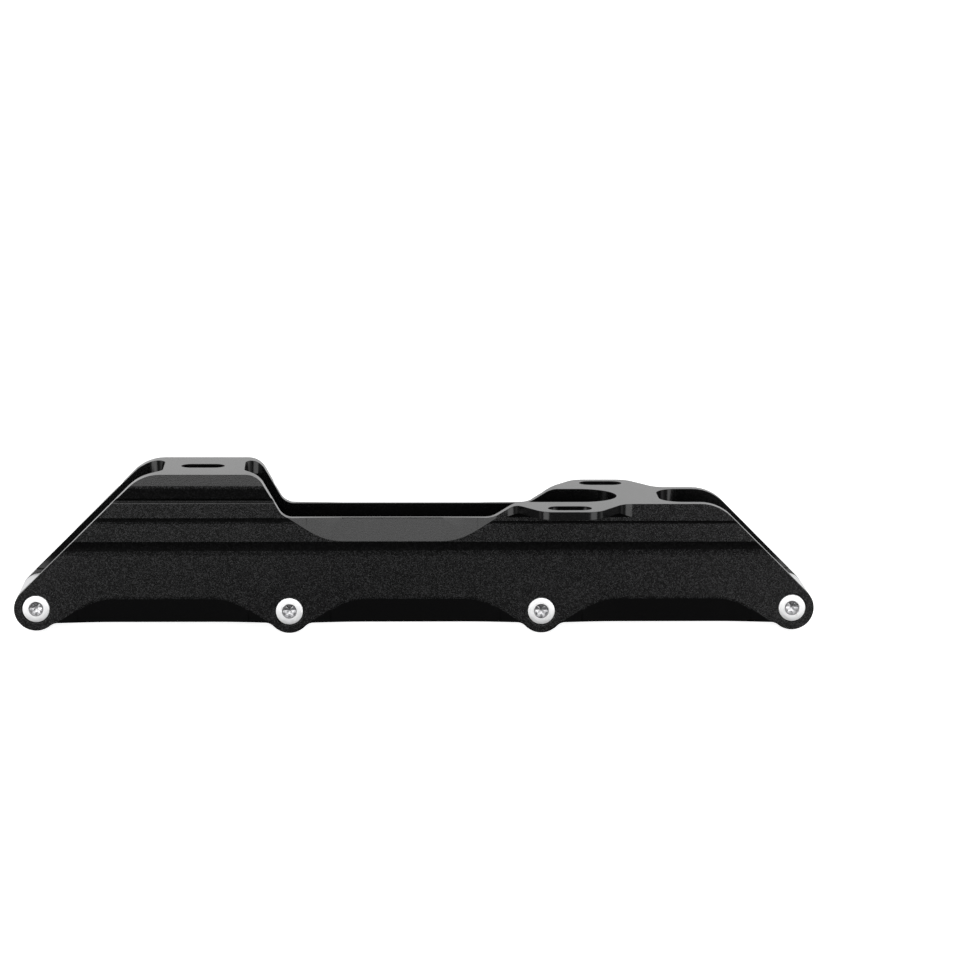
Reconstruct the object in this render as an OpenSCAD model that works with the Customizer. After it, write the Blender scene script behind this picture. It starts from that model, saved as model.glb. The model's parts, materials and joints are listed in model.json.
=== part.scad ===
// Inline skate frame for the right foot: one machined body, four wheel axles and four axle sleeves.
// X points to the toe, Y to the inner side of the foot and Z up; sizes are in millimetres.
// The origin lies under the middle of the wheelbase, level with the lowest lobe.

/* [Wheelbase] */
// distance from the first to the last axle
wheelbase = 275; // [260:1:290]
// how much higher the two end axles sit than the two middle ones
rocker = 1; // [0:0.25:2]
// radius of the lobe around each axle
lobe_r = 8; // [7.5:0.25:8.5]
// radius of the fillet between a lobe and the lower edge
lobe_fillet = 4; // [3:0.5:6]
// depth of the lower edge below the middle axles
edge_drop = 4.25; // [3:0.25:4.5]
// slope of both ends of the frame, in degrees
end_slope = 45; // [43:0.5:48]

/* [Walls] */
// clear width between the walls at the axles
gap_low = 24; // [23.4:0.1:24.4]
// clear width between the walls above the inner ledge
gap_up = 27.6; // [27.5:0.1:28.2]
// height of the inner ledge
inner_ledge_z = 18; // [17.5:0.5:22]
// outer width of the lower wall band
wall_low = 31.4; // [31:0.1:32.6]
// outer width of the upper wall band
wall_up = 34; // [33.6:0.1:34.6]
// how far the mounting flange stands out from that band
flange_d = 0.65; // [0.5:0.05:0.8]
// height at which the lower band starts to widen
step_z = 28.7; // [28:0.1:29.6]
// height over which it widens
step_h = 5.3; // [4.4:0.1:5.6]

/* [Heel] */
// height of the heel deck's top face
heel_z = 59; // [58:0.5:62]
// width of the heel deck's top face
heel_w = 38.6; // [37:0.1:41]
// thickness of the heel deck
heel_deck = 5.1; // [4.8:0.1:5.5]
// how far each heel shoulder leans out, from its top to its bend
heel_taper = 0.45; // [0.2:0.05:0.8]
// depth of that bend below the heel deck's top face
shoulder_bend = 4.6; // [4.2:0.1:5]
// radius of that bend
shoulder_round = 4.5; // [3:0.5:6]
// slope of the shoulders below the bend, in degrees from upright
shoulder_slope = 11; // [8:1:14]
// depth of the shoulders' undersides below the heel deck's top face
shoulder_h = 8.8; // [8.5:0.1:9]
// height of the cove between a shoulder's underside and the heel wall
undercut_h = 1.5; // [1.2:0.1:1.6]
// depth of that cove
undercut_d = 1.2; // [0.9:0.1:1.5]
// outer width of the heel walls under the shoulders
riser_w = 33; // [32.5:0.1:33.6]
// width of the openings in the heel deck
heel_gap = 27.2; // [26:0.1:27.4]
// radius of the flange's upper edge along the heel
ledge_round = 0.5; // [0.3:0.05:0.8]
// position of the heel block's upper front corner
heel_front_x = -57.2; // [-58:0.1:-55]
// slope of the heel block's front, in degrees
heel_front_slope = 60; // [57:1:64]
// radius of the heel block's rear corner
heel_round = 16; // [12:0.5:18]
// radius of the heel block's front corner
heel_front_round = 7.2; // [6:0.2:9]
// rear edge of the heel bridge
heel_bridge_x = -91.6; // [-93:0.1:-89]
// length of the heel bridge
heel_bridge_l = 29.5; // [28:0.1:31]
// corner radius of the heel openings
heel_corner = 6; // [4:0.5:8]
// distance from the heel bridge's rear edge to the middle of its slot
heel_slot_in = 14.2; // [13:0.1:16]

/* [Saddle] */
// height of the walls between heel and front mount
saddle_z = 42.7; // [42.4:0.1:43]
// radius at the foot of the heel block
saddle_fillet = 5.5; // [4:0.5:7]
// depth of the bevel along the saddle's outer edges
bevel_d = 1.4; // [1:0.1:1.6]
// rear end of the bevel's full depth
bevel_x = -26.5; // [-28:0.5:-24]
// distance from the front end of the bevel's full depth to the ear slot
bevel_back = 45.8; // [44:0.1:47]
// slope of the walls up to the front mount, in degrees
rise_slope = 32; // [30:1:36]
// distance from the top of that slope to the ear slot
rise_back = 19.1; // [18:0.1:20]
// radius at both ends of that slope
rise_round = 8; // [6:0.5:9]

/* [Front mount] */
// height of the front deck's top face
front_z = 48; // [47.7:0.1:48.2]
// thickness of the front bridge
front_deck = 5; // [4.5:0.1:5.3]
// width of the openings in the front deck
front_gap = 27.2; // [26:0.1:27.4]
// radius of the front upper corner
front_round = 16; // [12:0.5:18]
// rear edge of the front bridge, at the middle of its round
front_bridge_x = 73.9; // [73:0.1:75.5]
// length of the front bridge
front_bridge_l = 15.1; // [14:0.1:17]
// corner radius of the front opening
front_corner = 8.5; // [7:0.5:10]
// position of the outer ear's slot
ear_x = 55.2; // [54:0.1:57]
// how much further forward the inner ear sits
ear_shift = 14.6; // [13:0.1:16]
// width over both ears
ear_w = 68; // [66:0.5:70]
// thickness of the ears
ear_t = 2.9; // [2.7:0.1:3.3]
// length of an ear's outer edge, to its sharp corners
ear_edge = 19.6; // [18.5:0.1:21]
// angle of an ear's flanks, in degrees
ear_flank = 58; // [56:1:62]
// radius of an ear's outer corners
ear_round = 7; // [5:0.5:8]
// radius between an ear's flanks and the wall
ear_fillet = 7; // [5:0.5:8]
// radius under the ears, along the wall
flange_fillet = 4.6; // [4.2:0.1:5]
// height of the cove under the front flange
front_cove = 1.3; // [1:0.1:1.6]
// distance between the two ear slots across the frame
slot_span = 52.4; // [51:0.2:53]

/* [Slots] */
// length of the mounting slots
slot_l = 15.8; // [13:0.2:17]
// width of the mounting slots
slot_w = 8; // [6.5:0.1:8.4]

/* [Reliefs] */
// depth of the relief at the lower edge between two lobes
relief_d = 1.8; // [1.4:0.1:2.2]
// height of that relief
relief_h = 9.3; // [8:0.1:9.8]
// distance from an axle to the relief's full depth
relief_inset = 28; // [27:0.5:31]
// slope at which reliefs and bevels run out, seen from the side
runout_slope = 33; // [30:1:36]
// radius at the start of that run-out, seen from the side
runout_round = 20; // [16:1:24]

/* [Axles] */
// diameter of the axle head
head_d = 9.8; // [9.4:0.1:10.2]
// thickness of the axle head
head_t = 2.2; // [2:0.1:2.6]
// diameter of the axle shank
shank_d = 8; // [7.8:0.1:8.2]
// diameter of the threaded tip
tip_d = 6.2; // [5.8:0.1:6.8]
// bevel at the end of the tip
tip_bevel = 0.7; // [0.4:0.1:0.9]
// width across the drive socket's lobes
socket_d = 4.5; // [4.2:0.1:5]
// depth of the drive socket
socket_depth = 3; // [2:0.1:4]
// bevel around the drive socket
socket_bevel = 0.45; // [0.2:0.05:0.6]

/* [Sleeves] */
// outer diameter of the sleeve on each axle
sleeve_d = 16; // [14:0.25:16.5]
// bevel at both ends of a sleeve
sleeve_bevel = 0.5; // [0.3:0.1:0.8]

/* [Fits] */
// radial clearance of a shank in its wall bore and its sleeve
shank_clear = 0.05; // [0.03:0.01:0.09]
// radial clearance of a tip in the far wall
tip_clear = 0.05; // [0.03:0.01:0.09]
// radial gap around an axle head
head_clear = 0.4; // [0.3:0.05:0.5]
// gap between the shank's end and the far wall
shoulder_gap = 0.1; // [0.05:0.05:0.3]
// end play of a sleeve at each side
sleeve_play = 0.15; // [0.1:0.05:0.3]

/* [Hidden] */
$fn = 96;

// margin by which cutting shapes reach past the material
over = 1;
// reach of cutting shapes that pass through the whole frame
far = 200;
// number of axles and the distance between neighbours
axle_count = 4;
pitch = wheelbase / (axle_count - 1);
mid_axle_z = lobe_r;
end_axle_z = lobe_r + rocker;
edge_z = mid_axle_z - edge_drop;
// end lobe and the point where the end slope touches it
end_x = wheelbase / 2;
foot_x = end_x + lobe_r * sin(end_slope);
foot_z = end_axle_z + lobe_r * cos(end_slope);
// upper corners of the side outline
heel_rear_x = -foot_x + (heel_z - foot_z) / tan(end_slope);
heel_foot_x = heel_front_x + (heel_z - saddle_z) / tan(heel_front_slope);
rise_run = (front_z - saddle_z) / tan(rise_slope);
front_end_x = foot_x - (front_z - foot_z) / tan(end_slope);
// heights of the wall bands
step_top = step_z + step_h;
step_d = (wall_up - wall_low) / 2;
// foot of the heel walls, just above the front deck's level
ledge_rise = 0.55;
ledge_z = front_z + ledge_rise;
// bend and underside of a heel shoulder
bend_y = heel_w / 2 + heel_taper;
bend_z = heel_z - shoulder_bend;
shoulder_z = heel_z - shoulder_h;
shoulder_y = bend_y - (bend_z - shoulder_z) * tan(shoulder_slope);
// lip of a wall beside the heel deck, whose underside sits a little higher
lip_y = heel_gap / 2 - over;
lip_z = heel_z - heel_deck;
deck_lift = 0.1;
// flange along the walls: at the heel its lower edge lies on the round under the ears
ear_under = front_z - ear_t;
flange_w = wall_up + 2 * flange_d;
flange_fillet_z = ear_under - flange_fillet;
flange_h = sqrt(2 * flange_fillet * flange_d - flange_d * flange_d);
flange_z = flange_fillet_z + flange_h;
// shapes of the ears
wall_inset = 0.05;
ear_base_y = flange_w / 2 - wall_inset;
root_rise = 0.1;
ear_base_z = flange_z + root_rise;
ear_out = ear_edge / 2;
ear_in = ear_out + (ear_w / 2 - ear_base_y) / tan(ear_flank);
flange_drop = ear_base_z - flange_fillet_z;
flange_fillet_y = ear_base_y - wall_inset + sqrt(flange_fillet * flange_fillet - flange_drop * flange_drop);
// bevel from a narrow plain strip above the wall step to the saddle
bevel_strip = 0.2;
bevel_h = saddle_z - step_top - bevel_strip;
// how far the cuts of the bevels and of the reliefs reach past their edges
bevel_reach = 0.8;
relief_reach = 5;
// plain strip between the end of a bevel and the flange
flange_strip = 0.2;
// drive socket: a round core and six lobes
socket_lobes = 6;
socket_lobe_r = socket_d / 8;
socket_lobe_at = socket_d / 2 - socket_lobe_r;

function axle_x(i) = (i - 1) * pitch - end_x;
function axle_z(i) = (i == 1 || i == axle_count) ? end_axle_z : mid_axle_z;
function unit(v) = v / norm(v);
// twice the signed area of a closed outline, and the outline turned anticlockwise
function area2(p) = [for (i = [0 : len(p) - 1]) cross(p[i], p[(i + 1) % len(p)])] * [for (q = p) 1];
function turned(p) = area2(p) > 0 ? p : [for (i = [len(p) - 1 : -1 : 0]) p[i]];

// extrudes a section drawn in Y and Z along X
module along_x(x0, x1) {
    translate([x0, 0, 0])
        rotate([90, 0, 90])
            linear_extrude(x1 - x0)
                children();
}

// extrudes an outline drawn in X and Z along Y
module across(y0, y1) {
    translate([0, y1, 0])
        rotate([90, 0, 0])
            linear_extrude(y1 - y0)
                children();
}

// piece between a corner at p, whose edges leave along a and b, and a round of radius r
module corner(p, a, b, r) {
    m = unit(unit(a) + unit(b));
    half = acos(m * unit(a));
    t = r / tan(half);
    difference() {
        polygon(turned([p - m * over, p + unit(a) * t, p + unit(b) * t]));
        translate(p + m * r / sin(half))
            circle(r);
    }
}

// fillet between the lobe of axle i and the lower edge, on side s
module lobe_foot(i, s) {
    x = axle_x(i);
    z = axle_z(i);
    reach = lobe_r + lobe_fillet;
    drop = z - edge_z + lobe_fillet;
    run = sqrt(reach * reach - drop * drop);
    touch = lobe_r / reach;
    difference() {
        polygon(turned([
            [x, z],
            [x + s * run, edge_z + over],
            [x + s * run, edge_z],
            [x + s * run * touch, z - drop * touch]
        ]));
        translate([x + s * run, edge_z - lobe_fillet])
            circle(lobe_fillet);
    }
}

// side outline of a wall whose ear slot sits at ear_at
module side_outline(ear_at) {
    rise_top = ear_at - rise_back;
    rise_foot = rise_top - rise_run;
    up_end = [cos(end_slope), sin(end_slope)];
    up_rise = [cos(rise_slope), sin(rise_slope)];
    down_heel = [cos(heel_front_slope), -sin(heel_front_slope)];
    down_end = [cos(end_slope), -sin(end_slope)];
    difference() {
        union() {
            polygon(turned([
                [-end_x, end_axle_z],
                [-foot_x, foot_z],
                [heel_rear_x, heel_z],
                [heel_front_x, heel_z],
                [heel_foot_x, saddle_z],
                [rise_foot, saddle_z],
                [rise_top, front_z],
                [front_end_x, front_z],
                [foot_x, foot_z],
                [end_x, end_axle_z],
                [end_x, edge_z],
                [-end_x, edge_z]
            ]));
            for (i = [1 : axle_count])
                translate([axle_x(i), axle_z(i)])
                    circle(lobe_r);
            for (i = [1 : axle_count - 1]) {
                lobe_foot(i, 1);
                lobe_foot(i + 1, -1);
            }
            corner([heel_foot_x, saddle_z], [1, 0], -down_heel, saddle_fillet);
            corner([rise_foot, saddle_z], [-1, 0], up_rise, rise_round);
        }
        corner([heel_rear_x, heel_z], [1, 0], -up_end, heel_round);
        corner([heel_front_x, heel_z], [-1, 0], down_heel, heel_front_round);
        corner([rise_top, front_z], [1, 0], -up_rise, rise_round);
        corner([front_end_x, front_z], [-1, 0], down_end, front_round);
    }
}

// section of the inner side's wall, up to and past the heel shoulder
module wall_section() {
    polygon([
        [gap_low / 2, -over],
        [wall_low / 2, -over],
        [wall_low / 2, step_top],
        [wall_up / 2, step_top],
        [wall_up / 2, ledge_z - over],
        [riser_w / 2, ledge_z - over],
        [riser_w / 2, heel_z + over],
        [lip_y, heel_z + over],
        [lip_y, lip_z],
        [gap_up / 2, lip_z],
        [gap_up / 2, inner_ledge_z],
        [gap_low / 2, inner_ledge_z]
    ]);
    cove(wall_low / 2, step_top, step_d, step_h);
    cove(riser_w / 2, shoulder_z, undercut_d, undercut_h);
    difference() {
        polygon([
            [riser_w / 2 - over, shoulder_z],
            [shoulder_y, shoulder_z],
            [bend_y, bend_z],
            [heel_w / 2, heel_z],
            [heel_w / 2, heel_z + over],
            [riser_w / 2 - over, heel_z + over]
        ]);
        corner(
            [bend_y, bend_z], [-heel_taper, shoulder_bend], [shoulder_y - bend_y, shoulder_z - bend_z],
            shoulder_round
        );
    }
}

// section of the flange on the inner side's wall, with a cove of height h under it
module flange_section(h) {
    z = flange_fillet_z + h;
    translate([wall_up / 2 - over, z])
        square([flange_d + over, ledge_z - z]);
    cove(wall_up / 2, z, flange_d, h);
}

// cove of height h under an edge at height z that stands out by d from a wall face at y
module cove(y, z, d, h) {
    r = (h * h + d * d) / (2 * d);
    difference() {
        polygon([
            [y - over, z - h],
            [y, z - h],
            [y + d, z],
            [y - over, z + over]
        ]);
        translate([y + r, z - h])
            circle(r);
    }
}

// one stretch of a sloped cut: depth d at its edge, none at height h, reaching m past the edge
function cut_profile(d, h, m) = [[-over, -m], [d * (1 + m / h), -m], [-over, h * (1 + over / d)]];

// angle in plan at which a sloped cut runs out, and the length over which it does
function runout_turn(d, h) = atan(tan(runout_slope) * d / h);
function runout_l(d, h) = h / tan(runout_slope) + runout_round * h / d * tan(runout_turn(d, h) / 2);

// sloped cut in the inner side's wall face at y, from x0 to x1 at full depth, running out at both ends
// side is 1 for a cut along a lower edge and -1 for one along an upper edge
module sloped_cut(x0, x1, y, z, side, d, h, m) {
    turn = runout_turn(d, h);
    turn_r = runout_round * h / d;
    translate([0, y + turn_r, z]) {
        along_x(x0, x1)
            polygon([for (p = cut_profile(d, h, m)) [-turn_r - p[0], side * p[1]]]);
        translate([x1, 0, 0])
            runout(turn, turn_r, side, d, h, m);
        translate([x0, 0, 0])
            mirror([1, 0, 0])
                runout(turn, turn_r, side, d, h, m);
    }
}

// end of a sloped cut: a turn away from the wall and a straight stretch
module runout(turn, turn_r, side, d, h, m) {
    p = cut_profile(d, h, m);
    rotate([0, 0, -90])
        rotate_extrude(angle = turn)
            polygon([for (q = p) [turn_r + q[0], side * q[1]]]);
    rotate([0, 0, turn])
        along_x(0, d * (1 + m / h) / sin(turn))
            polygon([for (q = p) [-turn_r - q[0], side * q[1]]]);
}

// wall of the inner side with its saddle bevel, flange and ear, for an ear slot at ear_at
module wall(ear_at) {
    wall_x = end_x + lobe_r + over;
    difference() {
        along_x(-wall_x, wall_x)
            wall_section();
        sloped_cut(
            bevel_x, ear_at - bevel_back, wall_up / 2, saddle_z, -1, bevel_d, bevel_h, bevel_reach
        );
    }
    difference() {
        union() {
            along_x(-wall_x, 0)
                difference() {
                    flange_section(flange_h);
                    corner([flange_w / 2, ledge_z], [-1, 0], [0, -1], ledge_round);
                }
            along_x(0, wall_x)
                flange_section(front_cove);
            ear(ear_at);
        }
        flange_break(ear_at);
    }
}

// stretch of the saddle without a flange, ended by the lines along which the bevel runs out
module flange_break(ear_at) {
    run = runout_l(bevel_d, bevel_h) + flange_strip;
    x0 = bevel_x - run;
    x1 = ear_at - bevel_back + run;
    low = flange_fillet_z - over;
    back = (saddle_z - low) / tan(runout_slope);
    across(gap_low / 2, far)
        polygon([
            [x0 + back, low],
            [x1 - back, low],
            [x1, saddle_z],
            [x1, ledge_z + over],
            [x0, ledge_z + over],
            [x0, saddle_z]
        ]);
}

// ear of the inner side, reaching past the front deck's top face
module ear(ear_at) {
    out = [cos(ear_flank), -sin(ear_flank)];
    reach = ear_in + ear_fillet;
    intersection() {
        translate([0, 0, ear_base_z - over])
            linear_extrude(front_z - ear_base_z + 3 * over)
                difference() {
                    union() {
                        polygon([
                            [ear_at - reach, ear_base_y - 2 * over],
                            [ear_at + reach, ear_base_y - 2 * over],
                            [ear_at + reach, ear_base_y],
                            [ear_at + ear_in, ear_base_y],
                            [ear_at + ear_out, ear_w / 2],
                            [ear_at - ear_out, ear_w / 2],
                            [ear_at - ear_in, ear_base_y],
                            [ear_at - reach, ear_base_y]
                        ]);
                        corner([ear_at + ear_in, ear_base_y], [1, 0], [-out[0], -out[1]], ear_fillet);
                        corner([ear_at - ear_in, ear_base_y], [-1, 0], [out[0], -out[1]], ear_fillet);
                    }
                    corner([ear_at + ear_out, ear_w / 2], [-1, 0], out, ear_round);
                    corner([ear_at - ear_out, ear_w / 2], [1, 0], [-out[0], out[1]], ear_round);
                }
        along_x(ear_at - reach - over, ear_at + reach + over)
            difference() {
                translate([ear_base_y - 3 * over, ear_base_z])
                    square([ear_w / 2, front_z - ear_base_z + over]);
                translate([flange_fillet_y, flange_fillet_z])
                    circle(flange_fillet);
                translate([flange_fillet_y, flange_fillet_z])
                    square([ear_w, flange_fillet]);
            }
    }
}

// walls, ears and decks before the openings are cut
module blank() {
    wall(ear_x + ear_shift);
    mirror([0, 1, 0])
        wall(ear_x);
    deck_y = heel_gap / 2 + over;
    translate([heel_rear_x, -deck_y, lip_z + deck_lift])
        cube([heel_foot_x - heel_rear_x, 2 * deck_y, heel_deck + over]);
    front_y = gap_up / 2 + over;
    translate([ear_x - rise_back - rise_run, -front_y, front_z - front_deck])
        cube([foot_x - ear_x + rise_back + rise_run, 2 * front_y, front_deck + over]);
}

// opening in a deck from x towards s, of width w, with corners of radius r
module opening(x, s, w, r, z) {
    translate([x, 0, z])
        linear_extrude(far)
            difference() {
                translate([s > 0 ? 0 : -far, -w / 2])
                    square([far, w]);
                corner([0, w / 2], [s, 0], [0, -1], r);
                corner([0, -w / 2], [s, 0], [0, 1], r);
            }
}

// openings in the decks: behind and ahead of the heel bridge, behind and ahead of the front bridge
module openings() {
    heel_low = lip_z - over;
    front_low = front_z - front_deck - over;
    opening(heel_bridge_x, -1, heel_gap, heel_corner, heel_low);
    intersection() {
        opening(heel_bridge_x + heel_bridge_l, 1, heel_gap, heel_corner, heel_low);
        translate([-far, -far, 0])
            cube([far + bevel_x, 2 * far, far]);
    }
    translate([front_bridge_x - front_gap / 2, 0, front_low])
        cylinder(d = front_gap, h = far);
    translate([bevel_x, -front_gap / 2, front_low])
        cube([front_bridge_x - front_gap / 2 - bevel_x, front_gap, far]);
    opening(front_bridge_x + front_bridge_l, 1, front_gap, front_corner, front_low);
}

// mounting slot at x and y, cut down from above
module slot(x, y, z) {
    translate([x, y, z]) {
        for (s = [-1, 1])
            translate([s * (slot_l - slot_w) / 2, 0, 0])
                cylinder(d = slot_w, h = far);
        translate([-(slot_l - slot_w) / 2, -slot_w / 2, 0])
            cube([slot_l - slot_w, slot_w, far]);
    }
}

// holes for the axle at i: seat and bore in the outer wall, tapped hole in the inner one
module axle_holes(i) {
    seat_r = head_d / 2 + head_clear;
    bore_r = shank_d / 2 + shank_clear;
    tap_r = tip_d / 2 + tip_clear;
    translate([axle_x(i), 0, axle_z(i)])
        rotate([-90, 0, 0]) {
            translate([0, 0, -wall_low / 2 - over])
                cylinder(r = seat_r, h = over + head_t);
            translate([0, 0, -wall_low / 2])
                cylinder(r = bore_r, h = wall_low / 2);
            cylinder(r = tap_r, h = wall_low / 2 + over);
            translate([0, 0, wall_low / 2 - tip_bevel])
                cylinder(r1 = tap_r, r2 = tap_r + tip_bevel, h = tip_bevel);
            translate([0, 0, wall_low / 2])
                cylinder(r = tap_r + tip_bevel, h = over);
        }
}

// reliefs along the lower edge of the inner side's wall
module reliefs() {
    for (i = [1 : axle_count - 1])
        sloped_cut(
            axle_x(i) + relief_inset, axle_x(i + 1) - relief_inset, wall_low / 2, edge_z, 1,
            relief_d, relief_h, relief_reach
        );
}

// part of the inner side's wall that rises further forward than the outer side's
module inner_rise() {
    x0 = ear_x - rise_back - rise_run - rise_round * tan(rise_slope / 2);
    x1 = ear_x + ear_shift - rise_back + rise_round * tan(rise_slope / 2);
    across(gap_low / 4, far)
        difference() {
            translate([x0, saddle_z - over])
                square([x1 - x0, far]);
            side_outline(ear_x + ear_shift);
        }
}

// the machined body
module frame_body() {
    color([0.12, 0.12, 0.13])
        difference() {
            intersection() {
                blank();
                across(-ear_w, ear_w)
                    side_outline(ear_x);
            }
            inner_rise();
            openings();
            slot(heel_bridge_x + heel_slot_in, 0, lip_z - over);
            slot(ear_x, -slot_span / 2, ear_under - over);
            slot(ear_x + ear_shift, slot_span / 2, ear_under - over);
            for (i = [1 : axle_count])
                axle_holes(i);
            reliefs();
            mirror([0, 1, 0])
                reliefs();
        }
}

// axle i: head at the outer wall, shank through the sleeve, tip in the inner wall
module axle(i) {
    y0 = -wall_low / 2;
    shank_l = wall_low / 2 + gap_low / 2 - head_t - shoulder_gap;
    tip_l = wall_low / 2 - gap_low / 2 + shoulder_gap;
    color([0.86, 0.87, 0.88])
        translate([axle_x(i), y0, axle_z(i)])
            rotate([-90, 0, 0])
                difference() {
                    union() {
                        cylinder(d = head_d, h = head_t);
                        translate([0, 0, head_t])
                            cylinder(d = shank_d, h = shank_l);
                        translate([0, 0, head_t + shank_l])
                            cylinder(d = tip_d, h = tip_l - tip_bevel);
                        translate([0, 0, head_t + shank_l + tip_l - tip_bevel])
                            cylinder(d1 = tip_d, d2 = tip_d - 2 * tip_bevel, h = tip_bevel);
                    }
                    drive_socket();
                }
}

// six-lobed socket in an axle head, with a bevelled rim
module drive_socket() {
    translate([0, 0, -over])
        cylinder(d1 = socket_d + 2 * (socket_bevel + over), d2 = socket_d, h = socket_bevel + over);
    translate([0, 0, -over])
        linear_extrude(over + socket_depth)
            union() {
                circle(socket_lobe_at);
                for (k = [1 : socket_lobes])
                    rotate(k * 360 / socket_lobes)
                        translate([socket_lobe_at, 0])
                            circle(socket_lobe_r);
            }
}

// sleeve on axle i, between the walls
module axle_sleeve(i) {
    l = gap_low - 2 * sleeve_play;
    color([0.78, 0.79, 0.8])
        translate([axle_x(i), -l / 2, axle_z(i)])
            rotate([-90, 0, 0])
                difference() {
                    union() {
                        cylinder(d1 = sleeve_d - 2 * sleeve_bevel, d2 = sleeve_d, h = sleeve_bevel);
                        translate([0, 0, sleeve_bevel])
                            cylinder(d = sleeve_d, h = l - 2 * sleeve_bevel);
                        translate([0, 0, l - sleeve_bevel])
                            cylinder(d1 = sleeve_d, d2 = sleeve_d - 2 * sleeve_bevel, h = sleeve_bevel);
                    }
                    translate([0, 0, -over])
                        cylinder(r = shank_d / 2 + shank_clear, h = l + 2 * over);
                }
}

frame_body();
axle(1);  // axle_1
axle(2);  // axle_2
axle(3);  // axle_3
axle(4);  // axle_4
axle_sleeve(1);  // axle_sleeve_1
axle_sleeve(2);  // axle_sleeve_2
axle_sleeve(3);  // axle_sleeve_3
axle_sleeve(4);  // axle_sleeve_4
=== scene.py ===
"""Scene for an inline skate frame: black blasted body, turned axles and sleeves, studio and camera.

Sizes are in metres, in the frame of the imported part: X to the toe, Y to the inner side, Z up.
"""

import json
import logging
import math
from dataclasses import dataclass, field
from enum import Enum
from typing import ClassVar

import bmesh
import bpy
from bmesh.types import BMEdge, BMesh
from bpy.types import Material, Mesh, Node, NodeSocket, NodeTree, Object
from mathutils import Matrix, Vector
from mathutils.bvhtree import BVHTree

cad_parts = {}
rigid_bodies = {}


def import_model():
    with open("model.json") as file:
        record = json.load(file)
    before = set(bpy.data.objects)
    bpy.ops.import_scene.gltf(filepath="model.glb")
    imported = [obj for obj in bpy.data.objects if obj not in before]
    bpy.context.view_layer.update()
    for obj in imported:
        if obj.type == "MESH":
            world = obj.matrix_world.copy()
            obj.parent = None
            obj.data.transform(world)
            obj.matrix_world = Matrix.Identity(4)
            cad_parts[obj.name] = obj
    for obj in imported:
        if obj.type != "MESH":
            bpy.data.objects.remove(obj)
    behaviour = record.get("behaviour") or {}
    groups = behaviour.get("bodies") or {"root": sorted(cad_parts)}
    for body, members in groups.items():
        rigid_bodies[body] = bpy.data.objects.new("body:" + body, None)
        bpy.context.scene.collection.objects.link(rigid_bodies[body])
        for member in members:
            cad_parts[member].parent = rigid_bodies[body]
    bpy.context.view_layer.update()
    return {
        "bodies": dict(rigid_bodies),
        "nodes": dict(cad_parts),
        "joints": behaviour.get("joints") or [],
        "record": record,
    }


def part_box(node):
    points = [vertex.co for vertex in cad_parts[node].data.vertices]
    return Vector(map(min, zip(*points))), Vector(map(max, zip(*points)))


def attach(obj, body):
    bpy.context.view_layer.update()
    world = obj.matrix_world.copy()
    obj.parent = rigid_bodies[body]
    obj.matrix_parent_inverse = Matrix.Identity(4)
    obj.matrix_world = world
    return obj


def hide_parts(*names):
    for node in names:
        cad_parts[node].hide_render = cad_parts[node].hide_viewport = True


LOG = logging.getLogger("skate_frame")
MM = 0.001
TINY = 1e-18
AXLES = 4

Colour = tuple[float, float, float]
Place = tuple[float, float, float]
Ring = tuple[float, list[float]]
Levels = tuple[tuple[float, float], ...]


class Cut(Enum):
    """Kinds of surface on the machined body, in the order of its material slots; the cove kind is
    the blasted surface with painted shade.
    """

    BLASTED = 0
    MILLED = 1
    EDGE = 2
    COVE = 3


class AxleCut(Enum):
    """Kinds of surface on an axle, in the order of its material slots; the socket kind carries
    painted shade.
    """

    TURNED = 0
    BROACHED = 1


class Tree(Enum):
    """Kinds of node tree."""

    SHADER = "ShaderNodeTree"
    GEOMETRY = "GeometryNodeTree"


class Socket(Enum):
    """Kinds of socket on a node group."""

    VALUE = "NodeSocketFloat"
    VECTOR = "NodeSocketVector"
    MATERIAL = "NodeSocketMaterial"
    GEOMETRY = "NodeSocketGeometry"


def add_node(tree: NodeTree, kind: str, **settings: object) -> Node:
    """Adds a node and sets its properties and inputs.

    Args:
        tree: Node tree that gets the node.
        kind: Blender's identifier of the node.
        settings: Values by property name, or by input name with blanks as underscores.

    Returns:
        The new node.
    """
    made = tree.nodes.new(kind)
    for name, value in settings.items():
        if hasattr(made, name):
            setattr(made, name, value)
        else:
            made.inputs[name.replace("_", " ")].default_value = value
    return made


def link(tree: NodeTree, source: NodeSocket, target: NodeSocket) -> None:
    """Links an output to an input."""
    tree.links.new(source, target)


def calc(tree: NodeTree, operation: str, *terms: object) -> NodeSocket:
    """Adds a Math node.

    Args:
        tree: Node tree that gets the node.
        operation: Blender's name of the operation.
        terms: Numbers or output sockets, in the order of the node's inputs.

    Returns:
        The node's output.
    """
    made = add_node(tree, "ShaderNodeMath", operation=operation)
    for place, term in zip(made.inputs, terms):
        if isinstance(term, NodeSocket):
            link(tree, term, place)
        else:
            place.default_value = term
    return made.outputs[0]


def spread(tree: NodeTree, value: NodeSocket, low: float, high: float) -> NodeSocket:
    """Maps a value from the range 0 to 1 to another range.

    Args:
        tree: Node tree that gets the node.
        value: Output that carries the value.
        low: Result at 0.
        high: Result at 1.

    Returns:
        The mapped value's output.
    """
    made = add_node(tree, "ShaderNodeMapRange", To_Min=low, To_Max=high)
    link(tree, value, made.inputs["Value"])
    return made.outputs["Result"]


def mix_tones(tree: NodeTree, share: NodeSocket, first: Colour, second: Colour) -> NodeSocket:
    """Mixes two colours.

    Args:
        tree: Node tree that gets the node.
        share: Output with the second colour's share.
        first: Colour at a share of 0.
        second: Colour at a share of 1.

    Returns:
        The mixed colour's output.
    """
    made = add_node(tree, "ShaderNodeMix", data_type="RGBA")
    made.inputs["A"].default_value = (*first, 1.0)
    made.inputs["B"].default_value = (*second, 1.0)
    link(tree, share, made.inputs["Factor"])
    return made.outputs["Result"]


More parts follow.
